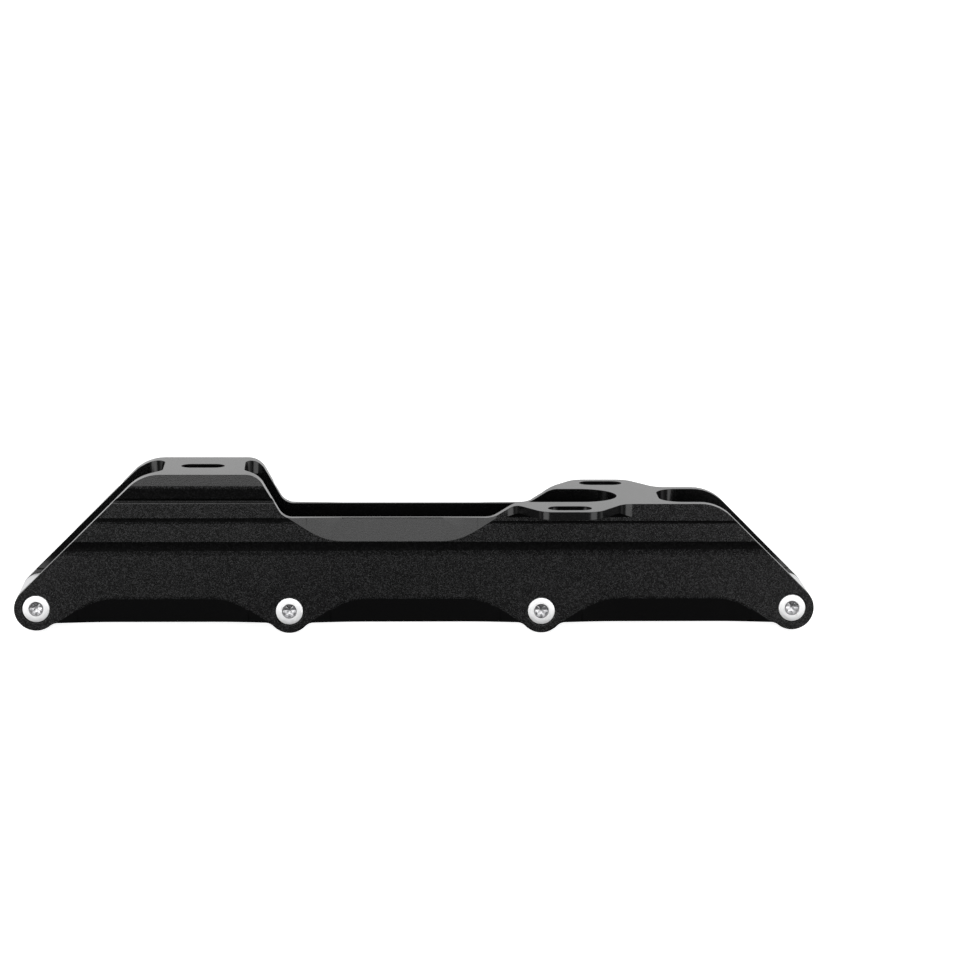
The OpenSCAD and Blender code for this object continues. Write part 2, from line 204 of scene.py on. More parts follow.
def choose(tree: NodeTree, share: NodeSocket, first: NodeSocket, second: NodeSocket) -> NodeSocket:
    """Chooses between two shaders.

    Args:
        tree: Node tree that gets the node.
        share: Output with the second shader's share.
        first: Shader at a share of 0.
        second: Shader at a share of 1.

    Returns:
        The chosen shader's output.
    """
    made = add_node(tree, "ShaderNodeMixShader")
    for source, target in zip((share, first, second), made.inputs):
        link(tree, source, target)
    return made.outputs[0]


def add_bump(
    tree: NodeTree, shader: Node, height: NodeSocket, strength: float, depth: float
) -> None:
    """Gives a shader fine relief.

    Args:
        tree: The material's node tree.
        shader: The material's shader.
        height: Output with the relief's height, from 0 to 1.
        strength: How strongly the relief shows.
        depth: Depth of the relief.
    """
    made = add_node(tree, "ShaderNodeBump", Strength=strength, Distance=depth)
    link(tree, height, made.inputs["Height"])
    link(tree, made.outputs["Normal"], shader.inputs["Normal"])


def new_group(
    name: str, kind: Tree, inputs: dict[str, Socket], outputs: dict[str, Socket]
) -> NodeTree:
    """Starts a node group with named sockets.

    Args:
        name: Name of the group.
        kind: Kind of the group.
        inputs: Kind of each input by its name.
        outputs: Kind of each output by its name.

    Returns:
        The group, with its input and output nodes in place.
    """
    tree = bpy.data.node_groups.new(name, kind.value)
    for side, sockets in (("INPUT", inputs), ("OUTPUT", outputs)):
        for label, socket in sockets.items():
            tree.interface.new_socket(label, in_out=side, socket_type=socket.value)
    tree.nodes.new("NodeGroupInput")
    tree.nodes.new("NodeGroupOutput")
    return tree


def ends_of(tree: NodeTree) -> tuple[Node, Node]:
    """Gives the input and the output node of a group."""
    return tree.nodes["Group Input"], tree.nodes["Group Output"]


@dataclass(frozen=True)
class Effects:
    """Node groups that several finishes share."""

    SPECK_FROM: ClassVar[float] = 0.45
    RING_DETAIL: ClassVar[float] = 3.0
    BAND_DETAIL: ClassVar[float] = 1.0
    BANDS_PER_RING: ClassVar[float] = 0.12
    CLOUD_DETAIL: ClassVar[float] = 4.0
    CLOUD_ROUGHNESS: ClassVar[float] = 0.55

    grain: NodeTree
    turning: NodeTree
    clouding: NodeTree

    @classmethod
    def make(cls) -> "Effects":
        """Builds the groups."""
        return cls(cls._grain(), cls._turning(), cls._clouding())

    @classmethod
    def _grain(cls) -> NodeTree:
        """Builds the dimples of a blasted surface.

        Returns:
            The group, which puts out the dimples' height and a mask of the brighter ones.
        """
        tree = new_group(
            "blast_grain",
            Tree.SHADER,
            {"Vector": Socket.VECTOR, "Grains per m": Socket.VALUE},
            {"Height": Socket.VALUE, "Specks": Socket.VALUE},
        )
        enter, leave = ends_of(tree)
        dents = add_node(tree, "ShaderNodeTexNoise", Detail=0.0)
        dimples = add_node(tree, "ShaderNodeTexVoronoi", feature="F1")
        for texture in (dents, dimples):
            link(tree, enter.outputs["Vector"], texture.inputs["Vector"])
            link(tree, enter.outputs["Grains per m"], texture.inputs["Scale"])
        link(tree, dents.outputs["Fac"], leave.inputs["Height"])
        tint = add_node(tree, "ShaderNodeSeparateColor")
        link(tree, dimples.outputs["Color"], tint.inputs["Color"])
        bright = add_node(tree, "ShaderNodeMapRange", From_Min=cls.SPECK_FROM, From_Max=1.0)
        link(tree, tint.outputs["Red"], bright.inputs["Value"])
        link(tree, bright.outputs["Result"], leave.inputs["Specks"])
        return tree

    @classmethod
    def _turning(cls) -> NodeTree:
        """Builds the rings that a lathe tool leaves, along the V direction of a turned piece's map.

        Returns:
            The group, which puts out the rings' height and their tone.
        """
        tree = new_group(
            "turning_rings",
            Tree.SHADER,
            {"Vector": Socket.VECTOR, "Rings per mm": Socket.VALUE},
            {"Height": Socket.VALUE, "Tone": Socket.VALUE},
        )
        enter, leave = ends_of(tree)
        split = add_node(tree, "ShaderNodeSeparateXYZ")
        link(tree, enter.outputs["Vector"], split.inputs["Vector"])
        along = calc(tree, "MULTIPLY", split.outputs["Y"], enter.outputs["Rings per mm"])
        rings, bands = (
            add_node(tree, "ShaderNodeTexNoise", noise_dimensions="1D", Scale=scale, Detail=detail)
            for scale, detail in ((1.0, cls.RING_DETAIL), (cls.BANDS_PER_RING, cls.BAND_DETAIL))
        )
        for noise in (rings, bands):
            link(tree, along, noise.inputs["W"])
        tone = calc(tree, "MULTIPLY", rings.outputs["Fac"], bands.outputs["Fac"])
        link(tree, rings.outputs["Fac"], leave.inputs["Height"])
        link(tree, tone, leave.inputs["Tone"])
        return tree

    @classmethod
    def _clouding(cls) -> NodeTree:
        """Builds the slow unevenness of a coating over the whole piece.

        Returns:
            The group, which puts out the unevenness.
        """
        tree = new_group(
            "clouding",
            Tree.SHADER,
            {"Vector": Socket.VECTOR, "Patches per m": Socket.VALUE},
            {"Cloud": Socket.VALUE},
        )
        enter, leave = ends_of(tree)
        patch = add_node(
            tree, "ShaderNodeTexNoise", Detail=cls.CLOUD_DETAIL, Roughness=cls.CLOUD_ROUGHNESS
        )
        link(tree, enter.outputs["Vector"], patch.inputs["Vector"])
        link(tree, enter.outputs["Patches per m"], patch.inputs["Scale"])
        link(tree, patch.outputs["Fac"], leave.inputs["Cloud"])
        return tree


def new_material(name: str) -> tuple[Material, NodeTree, Node]:
    """Starts a material.

    Args:
        name: Name of the material.

    Returns:
        The material, its node tree and its shader.
    """
    material = bpy.data.materials.new(name)
    material.use_nodes = True
    tree = material.node_tree
    return material, tree, tree.nodes["Principled BSDF"]


def place_group(tree: NodeTree, group: NodeTree, vector: NodeSocket, **values: float) -> Node:
    """Puts a shared group into a material.

    Args:
        tree: The material's node tree.
        group: The shared group.
        vector: Output with the coordinates that the group reads.
        values: The group's other inputs by name, with blanks as underscores.

    Returns:
        The group's node.
    """
    made = tree.nodes.new("ShaderNodeGroup")
    made.node_tree = group
    link(tree, vector, made.inputs["Vector"])
    for name, value in values.items():
        made.inputs[name.replace("_", " ")].default_value = value
    return made


@dataclass(frozen=True)
class AnodisedFinish:
    """Black anodised aluminium: blasted on the outside, smoother where it was milled.

    Attributes:
        name: Name of the material.
        tone: Colour of the coating.
        speck: Colour of the brightest specks.
        roughness: Roughness at its smoothest and at its roughest.
        grains_per_m: Number of dimples along a metre.
        grain_depth: Depth of the dimples.
        grain_strength: How strongly the dimples show.
        patches_per_m: Number of uneven patches along a metre.
        speck_share: The specks' share in the unevenness of the roughness.
        specular: Strength of the coating's gloss.
    """

    name: str
    tone: Colour
    speck: Colour
    roughness: tuple[float, float]
    grains_per_m: float
    grain_depth: float
    grain_strength: float = 0.6
    patches_per_m: float = 28.0
    speck_share: float = 0.5
    specular: float = 0.5

    def material(self, effects: Effects) -> Material:
        """Builds the material.

        Args:
            effects: The shared node groups.

        Returns:
            The material.
        """
        material, tree, shader = new_material(self.name)
        place = add_node(tree, "ShaderNodeTexCoord").outputs["Object"]
        grain = place_group(tree, effects.grain, place, Grains_per_m=self.grains_per_m)
        cloud = place_group(tree, effects.clouding, place, Patches_per_m=self.patches_per_m)
        specks = grain.outputs["Specks"]
        link(tree, mix_tones(tree, specks, self.tone, self.speck), shader.inputs["Base Color"])
        slow = calc(tree, "MULTIPLY", cloud.outputs["Cloud"], 1.0 - self.speck_share)
        uneven = calc(tree, "MULTIPLY_ADD", specks, self.speck_share, slow)
        link(tree, spread(tree, uneven, *self.roughness), shader.inputs["Roughness"])
        add_bump(tree, shader, grain.outputs["Height"], self.grain_strength, self.grain_depth)
        shader.inputs["Specular IOR Level"].default_value = self.specular
        return material


@dataclass(frozen=True)
class TurnedFinish:
    """Bright turned metal with the rings of the lathe tool.

    Attributes:
        name: Name of the material.
        tone: Colour of the metal.
        dark: Colour of the darkest rings.
        roughness: Roughness at its smoothest and at its roughest.
        rings_per_mm: Number of rings along a millimetre of the outline.
        ring_depth: Depth of the rings.
        ring_strength: How strongly the rings show.
        patches_per_m: Number of uneven patches along a metre.
    """

    name: str
    tone: Colour
    dark: Colour
    roughness: tuple[float, float]
    rings_per_mm: float
    ring_depth: float
    ring_strength: float = 0.5
    patches_per_m: float = 420.0

    def material(self, effects: Effects) -> Material:
        """Builds the material.

        Args:
            effects: The shared node groups.

        Returns:
            The material.
        """
        material, tree, shader = new_material(self.name)
        lathe = add_node(tree, "ShaderNodeUVMap", uv_map=Turning.MAP).outputs["UV"]
        place = add_node(tree, "ShaderNodeTexCoord").outputs["Object"]
        rings = place_group(tree, effects.turning, lathe, Rings_per_mm=self.rings_per_mm)
        cloud = place_group(tree, effects.clouding, place, Patches_per_m=self.patches_per_m)
        colour = mix_tones(tree, rings.outputs["Tone"], self.tone, self.dark)
        link(tree, colour, shader.inputs["Base Color"])
        uneven = spread(tree, cloud.outputs["Cloud"], *self.roughness)
        link(tree, uneven, shader.inputs["Roughness"])
        add_bump(tree, shader, rings.outputs["Height"], self.ring_strength, self.ring_depth)
        shader.inputs["Metallic"].default_value = 1.0
        return material


@dataclass(frozen=True)
class FloorFinish:
    """Matt white studio floor.

    Attributes:
        name: Name of the material.
        tone: Colour of the floor.
        shade: Colour of its darkest patches.
        glow: How strongly the floor shines by itself.
        roughness: Roughness of the floor.
        patches_per_m: Number of uneven patches along a metre.
    """

    name: str
    tone: Colour
    shade: Colour
    glow: float
    roughness: float = 0.9
    patches_per_m: float = 3.0

    def material(self, effects: Effects) -> Material:
        """Builds the material, which lets the view from below pass.

        Args:
            effects: The shared node groups.

        Returns:
            The material.
        """
        material, tree, shader = new_material(self.name)
        place = add_node(tree, "ShaderNodeTexCoord").outputs["Object"]
        cloud = place_group(tree, effects.clouding, place, Patches_per_m=self.patches_per_m)
        colour = mix_tones(tree, cloud.outputs["Cloud"], self.tone, self.shade)
        for label in ("Base Color", "Emission Color"):
            link(tree, colour, shader.inputs[label])
        shader.inputs["Emission Strength"].default_value = self.glow
        shader.inputs["Roughness"].default_value = self.roughness
        clear = add_node(tree, "ShaderNodeBsdfTransparent")
        below = add_node(tree, "ShaderNodeNewGeometry").outputs["Backfacing"]
        shown = choose(tree, below, shader.outputs[0], clear.outputs[0])
        link(tree, shown, tree.nodes["Material Output"].inputs["Surface"])
        return material


def show_mesh(name: str, mesh: Mesh) -> Object:
    """Puts a mesh into the scene at the origin.

    Args:
        name: Name of the piece.
        mesh: Its mesh, in place.

    Returns:
        The piece.
    """
    piece = bpy.data.objects.new(name, mesh)
    bpy.context.scene.collection.objects.link(piece)
    return piece


@dataclass
class FrameBody:
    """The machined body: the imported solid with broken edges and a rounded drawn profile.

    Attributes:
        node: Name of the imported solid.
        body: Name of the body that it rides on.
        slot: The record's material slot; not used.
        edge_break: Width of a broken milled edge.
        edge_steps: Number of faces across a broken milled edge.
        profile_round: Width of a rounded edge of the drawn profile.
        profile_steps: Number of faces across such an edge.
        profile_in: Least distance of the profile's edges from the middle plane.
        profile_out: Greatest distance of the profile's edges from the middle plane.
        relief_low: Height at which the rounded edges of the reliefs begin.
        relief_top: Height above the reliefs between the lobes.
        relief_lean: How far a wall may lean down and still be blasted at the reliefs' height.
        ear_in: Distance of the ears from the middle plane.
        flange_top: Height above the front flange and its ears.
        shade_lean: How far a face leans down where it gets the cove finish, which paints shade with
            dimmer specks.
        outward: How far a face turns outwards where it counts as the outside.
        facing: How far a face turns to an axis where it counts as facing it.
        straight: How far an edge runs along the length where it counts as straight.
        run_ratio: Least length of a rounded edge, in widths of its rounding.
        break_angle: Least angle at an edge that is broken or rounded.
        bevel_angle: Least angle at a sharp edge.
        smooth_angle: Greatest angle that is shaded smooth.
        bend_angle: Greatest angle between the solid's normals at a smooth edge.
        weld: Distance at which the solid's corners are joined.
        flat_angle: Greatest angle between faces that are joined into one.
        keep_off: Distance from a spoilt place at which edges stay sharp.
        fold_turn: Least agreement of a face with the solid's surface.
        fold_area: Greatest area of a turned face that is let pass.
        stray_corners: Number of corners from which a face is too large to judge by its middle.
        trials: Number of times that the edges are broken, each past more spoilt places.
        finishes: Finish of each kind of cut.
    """

    node: str = "frame_body"
    body: str = "frame"
    slot: str = "body"
    edge_break: float = 0.1 * MM
    edge_steps: int = 2
    profile_round: float = 0.45 * MM
    profile_steps: int = 3
    profile_in: float = 15.0 * MM
    profile_out: float = 20.5 * MM
    relief_low: float = 8.0 * MM
    relief_top: float = 16.0 * MM
    relief_lean: float = 0.03
    ear_in: float = 17.75 * MM
    flange_top: float = 48.7 * MM
    shade_lean: float = 0.17
    outward: float = 0.6
    facing: float = 0.9
    straight: float = 0.999
    run_ratio: float = 4.0
    break_angle: float = math.radians(24)
    bevel_angle: float = math.radians(7)
    smooth_angle: float = math.radians(19)
    bend_angle: float = math.radians(2)
    weld: float = 0.01 * MM
    flat_angle: float = math.radians(0.2)
    keep_off: float = 1.2 * MM
    fold_turn: float = 0.2
    fold_area: float = 1e-10
    stray_corners: int = 5
    trials: int = 5
    finishes: dict[Cut, AnodisedFinish] = field(default_factory=dict)

    def build(self, frame: dict) -> Object:
        """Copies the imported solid, joins its faces and breaks its edges.


        Returns:
            The body's piece.
        """
        source = frame["nodes"][self.node]
        bm = self._joined(source.data)
        skin = BVHTree.FromBMesh(bm)
        bmesh.ops.dissolve_limit(
            bm, angle_limit=self.flat_angle, verts=bm.verts, edges=bm.edges, delimit={"SHARP"}
        )
        for face in bm.faces:
            face.material_index = Cut.MILLED.value
        spoilt: list[Vector] = []
        for trial in range(self.trials):
            tried = bm.copy()
            self._break_edges(tried, spoilt)
            self._sharpen(tried)
            found = self._spoilt(tried, skin)
            LOG.info("edge break trial %d: %d faces spoilt", trial + 1, len(found))
            if not found or trial == self.trials - 1:
                break
            spoilt += found
            tried.free()
        mesh = bpy.data.meshes.new(self.node + "_shaped")
        tried.to_mesh(mesh)
        tried.free()
        bm.free()
        return show_mesh("shaped_frame_body", mesh)

    def _joined(self, mesh: Mesh) -> BMesh:
        """Joins the solid's loose triangles and marks the edges at which its surface bends sharply.

        Args:
            mesh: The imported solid's mesh, which stays as it is.

        Returns:
            The joined mesh.
        """
        bm = bmesh.new()
        bm.from_mesh(mesh)
        lean = bm.loops.layers.float_vector.new("lean")
        for face in bm.faces:
            for loop in face.loops:
                loop[lean] = mesh.corner_normals[loop.index].vector
        bmesh.ops.remove_doubles(bm, verts=bm.verts, dist=self.weld)
        for edge in bm.edges:
            sides = [{loop.vert: loop[lean] for loop in face.loops} for face in edge.link_faces]
            if len(sides) == 2:
                bend = max(sides[0][v].angle(sides[1][v], 0.0) for v in edge.verts)
                edge.smooth = bend < self.bend_angle
            else:
                edge.smooth = False
        return bm

    def _break_edges(self, bm: BMesh, spoilt: list[Vector]) -> None:
        """Breaks the sharp edges, apart from those near a spoilt place.

        Args:
            bm: Mesh to change.
            spoilt: Places where an earlier trial went wrong.
        """
        free = [
            edge
            for edge in bm.edges
            if len(edge.link_faces) == 2
            and not edge.smooth
            and edge.calc_face_angle(0) > self.bevel_angle
            and not any(self._near(edge, place) for place in spoilt)
        ]
        drawn = [edge for edge in free if self._drawn(edge)]
        kept = set(drawn)
        milled = [e for e in free if e not in kept and e.calc_face_angle(0) > self.break_angle]
        for edges, offset, segments, cut in (
            (milled, self.edge_break, self.edge_steps, Cut.EDGE),
            (drawn, self.profile_round, self.profile_steps, Cut.BLASTED),
        ):
            bmesh.ops.bevel(
                bm,
                geom=[edge for edge in edges if edge.is_valid],
                offset=offset,
                offset_type="OFFSET",
                segments=segments,
                profile=0.5,
                affect="EDGES",
                clamp_overlap=False,
                loop_slide=True,
                material=cut.value,
            )

    def _drawn(self, edge: BMEdge) -> bool:
        """Tells whether an edge belongs to the drawn profile on the outside of the walls.

        Args:
            edge: A sharp edge of the solid.

        Returns:
            True for the edges of the reliefs and for edges along the length, apart from those of
            the top faces.
        """
        a, b = (vert.co for vert in edge.verts)
        run = b - a
        middle = (a + b) / 2
        faces = edge.link_faces
        if not self.profile_in < abs(middle.y) < self.profile_out:
            return False
        if middle.z < self.relief_top:
            sideways = all(abs(face.normal.y) > self.facing for face in faces)
            return sideways and middle.z > self.relief_low
        along = abs(run.x) > self.straight * run.length
        lasting = run.length > self.run_ratio * self.profile_round
        top = middle.z > self.flange_top and any(face.normal.z > self.facing for face in faces)
        bent = edge.calc_face_angle(0) > self.break_angle
        return along and lasting and bent and not top

    def _near(self, edge: BMEdge, place: Vector) -> bool:
        """Tells whether an edge passes close to a place.

        Args:
            edge: An edge of the solid.
            place: The place.

        Returns:
            True where the edge comes closer than the distance to keep off.
        """
        a, b = (vert.co for vert in edge.verts)
        run = b - a
        share = (place - a).dot(run) / max(run.length_squared, TINY)
        return (a + run * max(0.0, min(1.0, share)) - place).length < self.keep_off

    def _spoilt(self, bm: BMesh, skin: BVHTree) -> list[Vector]:
        """Finds faces that turned over or left the solid's surface.

        Args:
            bm: Mesh with its edges broken.
            skin: The solid's own surface.

        Returns:
            The middles of those faces.
        """
        found = []
        for face in bm.faces:
            middle = face.calc_center_median()
            _, normal, _, gap = skin.find_nearest(middle)
            turned = face.normal.dot(normal) < self.fold_turn
            folded = turned and face.calc_area() > self.fold_area
            strayed = gap > self.profile_round and len(face.verts) < self.stray_corners
            if folded or strayed:
                found.append(middle)
        return found

    def _sharpen(self, bm: BMesh) -> None:
        """Smooths the rounds and keeps the broken edges crisp.

        Args:
            bm: Mesh to change.
        """
        for face in bm.faces:
            face.smooth = True
        for edge in bm.edges:
            if edge.calc_face_angle(math.pi) > self.smooth_angle:
                edge.smooth = False

    def dress(self, piece: Object, effects: Effects) -> None:
        """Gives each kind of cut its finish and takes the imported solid's place.

        Args:
            piece: The body's piece.
            effects: The shared node groups.
        """
        for cut in Cut:
            piece.data.materials.append(self.finishes[cut].material(effects))
        for face in piece.data.polygons:
            lean, place = face.normal, face.center
            outside = lean.y * place.y > 0 and abs(lean.y) > self.outward
            upright = lean.z > -self.relief_lean or place.z > self.relief_top
            ear = abs(place.y) > self.ear_in and place.z < self.flange_top
            if face.material_index == Cut.MILLED.value and outside and upright and not ear:
                # Outside faces that lean down get painted shade: the cove finish is the blasted one
                # with dimmer specks.
                cut = Cut.COVE if lean.z < -self.shade_lean else Cut.BLASTED
                face.material_index = cut.value
        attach(piece, self.body)
        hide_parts(self.node)


@dataclass
class Turning:
    """A turned piece: rings of points about the Y direction, each ring round or lobed."""

    MAP: ClassVar[str] = "lathe"

    steps: int = 96
    crease: float = math.radians(24)

    def mesh(self, name: str, centre: Vector, rings: list[Ring], closed: bool) -> Mesh:
        """Builds the mesh.

        Args:
            name: Name of the mesh.
            centre: Point on the axis at which Y counts from 0.
            rings: Y and the radius at each step, ring by ring along the outline.
            closed: Whether the last ring meets the first, as on a tube.

        Returns:
            The mesh, with a map of the turn and of the way along the outline in millimetres.
        """
        bm = bmesh.new()
        uv = bm.loops.layers.uv.new(self.MAP)
        way = [0.0]
        for (y0, r0), (y1, r1) in zip(rings, rings[1:] + rings[:1]):
            way.append(way[-1] + math.hypot(y1 - y0, r1[0] - r0[0]) / MM)
        turns = [math.tau * k / self.steps for k in range(self.steps)]
        loops = []
        for y, radii in rings:
            spots = [Vector((r * math.cos(t), y, r * math.sin(t))) for r, t in zip(radii, turns)]
            loops.append([bm.verts.new(centre + spot) for spot in spots])
        pairs = list(zip(range(len(loops)), [*range(1, len(loops)), 0]))
        for a, b in pairs if closed else pairs[:-1]:
            for k in range(self.steps):
                n = (k + 1) % self.steps
                face = bm.faces.new((loops[a][k], loops[a][n], loops[b][n], loops[b][k]))
                corners = ((k, a), (k + 1, a), (k + 1, a + 1), (k, a + 1))
                for loop, (turn, ring) in zip(face.loops, corners):
                    loop[uv].uv = (turn / self.steps, way[ring])
        if not closed:
            for ring in (loops[0], loops[-1]):
                bm.faces.new(ring)
        bmesh.ops.recalc_face_normals(bm, faces=bm.faces)
        mesh = bpy.data.meshes.new(name)
        bm.to_mesh(mesh)
        bm.free()
        mesh.polygons.foreach_set("use_smooth", [True] * len(mesh.polygons))
        mesh.set_sharp_from_angle(angle=self.crease)
        return mesh

    def round(self, y: float, radius: float) -> Ring:
        """Gives a round ring."""
        return y, [radius] * self.steps


def measure_turned(node: str) -> tuple[Vector, float, float, float]:
    """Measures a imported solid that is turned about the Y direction.

    Args:
        node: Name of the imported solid.

    Returns:
        The point of its axis at Y 0, its greatest radius, and its lowest and highest Y.
    """
    low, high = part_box(node)
    centre = (low + high) / 2
    return Vector((centre.x, 0.0, centre.z)), (high.x - low.x) / 2, low.y, high.y


@dataclass
class Thread:
    """A screw thread: a ridge that follows a helix about the Y direction, laid on a turned piece.

    Attributes:
        pitch: Way along the axis in one turn.
        ridge: Half the height of the ridge's profile.
        steps_per_turn: Number of points on a turn.
        sides: Number of corners of the ridge's profile.
    """

    pitch: float = 1.0 * MM
    ridge: float = 0.3 * MM
    steps_per_turn: int = 40
    sides: int = 4

    def tree(self) -> NodeTree:
        """Builds the geometry nodes that make a thread.

        Returns:
            The node tree, with the thread's sizes as named inputs.
        """
        sizes = {label: Socket.VALUE for label in ("Turns", "Radius", "Length", "Ridge")}
        tree = new_group(
            "thread",
            Tree.GEOMETRY,
            {**sizes, "Start": Socket.VECTOR, "Material": Socket.MATERIAL},
            {"Geometry": Socket.GEOMETRY},
        )
        enter, leave = ends_of(tree)
        helix = add_node(tree, "GeometryNodeCurveSpiral", Resolution=self.steps_per_turn)
        profile = add_node(tree, "GeometryNodeCurvePrimitiveCircle", Resolution=self.sides)
        sweep = add_node(tree, "GeometryNodeCurveToMesh", Fill_Caps=True)
        place = add_node(tree, "GeometryNodeTransform", Rotation=(-math.pi / 2, 0.0, 0.0))
        real = tree.nodes.new("GeometryNodeRealizeInstances")
        paint = tree.nodes.new("GeometryNodeSetMaterial")
        for source, target in (
            (enter.outputs["Turns"], helix.inputs["Rotations"]),
            (enter.outputs["Radius"], helix.inputs["Start Radius"]),
            (enter.outputs["Radius"], helix.inputs["End Radius"]),
            (enter.outputs["Length"], helix.inputs["Height"]),
            (enter.outputs["Ridge"], profile.inputs["Radius"]),
            (helix.outputs["Curve"], sweep.inputs["Curve"]),
            (profile.outputs["Curve"], sweep.inputs["Profile Curve"]),
            (sweep.outputs["Mesh"], place.inputs["Geometry"]),
            (enter.outputs["Start"], place.inputs["Translation"]),
            (place.outputs["Geometry"], real.inputs["Geometry"]),
            (real.outputs["Geometry"], paint.inputs["Geometry"]),
            (enter.outputs["Material"], paint.inputs["Material"]),
            (paint.outputs["Geometry"], leave.inputs["Geometry"]),
        ):
            link(tree, source, target)
        return tree

    def mesh(self, start: Vector, length: float, crest: float, metal: Material) -> Mesh:
        """Makes the thread's mesh.

        Args:
            start: Point on the axis where the thread begins.
            length: Length of the thread along the axis.
            crest: Radius at the thread's crest.
            metal: Material of the thread.

        Returns:
            The thread as a plain mesh.
        """
        blank = bpy.data.meshes.new("thread_blank")
        carrier = show_mesh("thread_carrier", blank)
        nodes = carrier.modifiers.new("thread", "NODES")
        nodes.node_group = self.tree()
        sizes = {
            "Turns": length / self.pitch,
            "Radius": crest - self.ridge,
            "Length": length,
            "Ridge": self.ridge,
            "Start": start,
            "Material": metal,
        }
        for item in nodes.node_group.interface.items_tree:
            if item.in_out == "INPUT":
                nodes[item.identifier] = sizes[item.name]
        bpy.context.view_layer.update()
        done = carrier.evaluated_get(bpy.context.evaluated_depsgraph_get())
        mesh = bpy.data.meshes.new_from_object(done)
        carrier.modifiers.remove(nodes)
        bpy.data.objects.remove(carrier)
        bpy.data.meshes.remove(blank)
        return mesh


@dataclass
class Axle:
    """A wheel axle: head with a lobed socket, shank and threaded tip.

    Attributes:
        number: Number of the axle, from the heel.
        head_t: Thickness of the head.
        head_break: Width of the rounding at the head's rim.
        head_bulge: Share of that width at which the rounding's middle lies.
        shank: Radius of the shank.
        shank_end: Y at which the shank ends.
        shank_break: Width of the bevel at the shank's end.
        tip: Radius of the threaded tip.
        tip_break: Width of the bevel at the tip's end.
        socket_across: Width of the socket over its lobes.
        socket_depth: Depth of the socket.
        socket_lead: Width of the bevel at the socket's mouth.
        socket_mouth: Share of that width at which the bevel meets the lobes.
        socket_rim: Size of the bevel's inner rim, as a share of the socket's.
        socket_point: Depth of the tapered floor.
        socket_taper: Size of the socket at its floor, as a share of that at its mouth.
        socket_floor: Size of the floor's flat, as a share of the socket's.
        socket_margin: How far behind the socket's floor its darker finish, painted shade, still
            counts.
        lobes: Number of lobes.
        lobe_share: Radius of a lobe, as a share of the socket's width.
        turning: How round pieces are made.
        thread: The tip's thread.
    """

    number: int
    head_t: float = 2.2 * MM
    head_break: float = 0.25 * MM
    head_bulge: float = 0.3
    shank: float = 4.0 * MM
    shank_end: float = 11.9 * MM
    shank_break: float = 0.3 * MM
    tip: float = 3.1 * MM
    tip_break: float = 0.7 * MM
    socket_across: float = 4.5 * MM
    socket_depth: float = 3.0 * MM
    socket_lead: float = 0.45 * MM
    socket_mouth: float = 0.95
    socket_rim: float = 1.01
    socket_point: float = 0.3 * MM
    socket_taper: float = 0.97
    socket_floor: float = 0.35
    socket_margin: float = 1.0 * MM
    lobes: int = 6
    lobe_share: float = 0.125
    turning: Turning = field(default_factory=Turning)
    thread: Thread = field(default_factory=Thread)

    @property
    def node(self) -> str:
        """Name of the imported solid, which is also the body's name."""
        return f"axle_{self.number}"

    def build(self, metal: Material, broached_shaded: Material) -> Object:
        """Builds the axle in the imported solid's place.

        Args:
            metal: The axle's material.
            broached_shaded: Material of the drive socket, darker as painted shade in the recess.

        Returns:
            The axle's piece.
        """
        axis, head, y0, y1 = measure_turned(self.node)
        name = f"turned_{self.node}"
        mesh = self.turning.mesh(name, axis, self._outline(head, y0, y1), closed=False)
        mesh.materials.append(metal)
        mesh.materials.append(broached_shaded)
        mouth = self.socket_across / 2 + self.socket_lead
        for face in mesh.polygons:
            reach = (face.center - axis).xz.length
            # The socket and its mouth get the darker material: painted shade in the recess.
            if face.center.y < y0 + self.socket_depth + self.socket_margin and reach < mouth:
                face.material_index = AxleCut.BROACHED.value
        ridge = self.thread.ridge
        start = axis + Vector((0.0, self.shank_end + ridge, 0.0))
        thread = self.thread.mesh(start, y1 - self.tip_break - ridge - start.y, self.tip, metal)
        bm = bmesh.new()
        bm.from_mesh(mesh)
        bm.from_mesh(thread)
        bm.to_mesh(mesh)
        bm.free()
        bpy.data.meshes.remove(thread)
        return show_mesh(name, mesh)

    def _outline(self, head: float, y0: float, y1: float) -> list[Ring]:
        """Gives the axle's rings from the socket's floor over the head to the tip.

        Args:
            head: Radius of the head.
            y0: Y of the head's face.
            y1: Y of the tip's end.

        Returns:
            The rings in order.
        """
        core = self.tip - 2 * self.thread.ridge
        socket = self.socket_across / 2
        bulge = self.head_break * self.head_bulge
        t = self.turning
        return [
            (y0 + self.socket_depth, self._lobed(self.socket_floor)),
            (y0 + self.socket_depth - self.socket_point, self._lobed(self.socket_taper)),
            (y0 + self.socket_lead, self._lobed(1.0)),
            t.round(y0 + self.socket_lead * self.socket_mouth, socket * self.socket_rim),
            t.round(y0, socket + self.socket_lead),
            t.round(y0, head - self.head_break),
            t.round(y0 + bulge, head - bulge),
            t.round(y0 + self.head_break, head),
            t.round(y0 + self.head_t, head),
            t.round(y0 + self.head_t, self.shank),
            t.round(self.shank_end - self.shank_break, self.shank),
            t.round(self.shank_end, self.shank - self.shank_break),
            t.round(self.shank_end, core),
            t.round(y1 - self.tip_break + self.tip - core, core),
            t.round(y1, self.tip - self.tip_break),
        ]

    def _lobed(self, scale: float) -> list[float]:
        """Gives the radius of the lobed socket at each step.

        Args:
            scale: Size of the ring, as a share of the socket's.

        Returns:
            The radii round the ring.
        """
        lobe = self.socket_across * self.lobe_share
        at = self.socket_across / 2 - lobe
        reach = 2 * math.asin(lobe / (2 * at))
        part = math.tau / self.lobes
        radii = []
        for k in range(self.turning.steps):
            off = (math.tau * k / self.turning.steps + part / 2) % part - part / 2
            bulge = math.sqrt(max(lobe**2 - (at * math.sin(off)) ** 2, 0.0))
            radius = at * math.cos(off) + bulge if abs(off) < reach else at
            radii.append(radius * scale)
        return radii

    def dress(self, piece: Object) -> None:
        """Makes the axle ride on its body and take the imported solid's place.

        Args:
            piece: The axle's piece.
        """
        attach(piece, self.node)
        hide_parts(self.node)


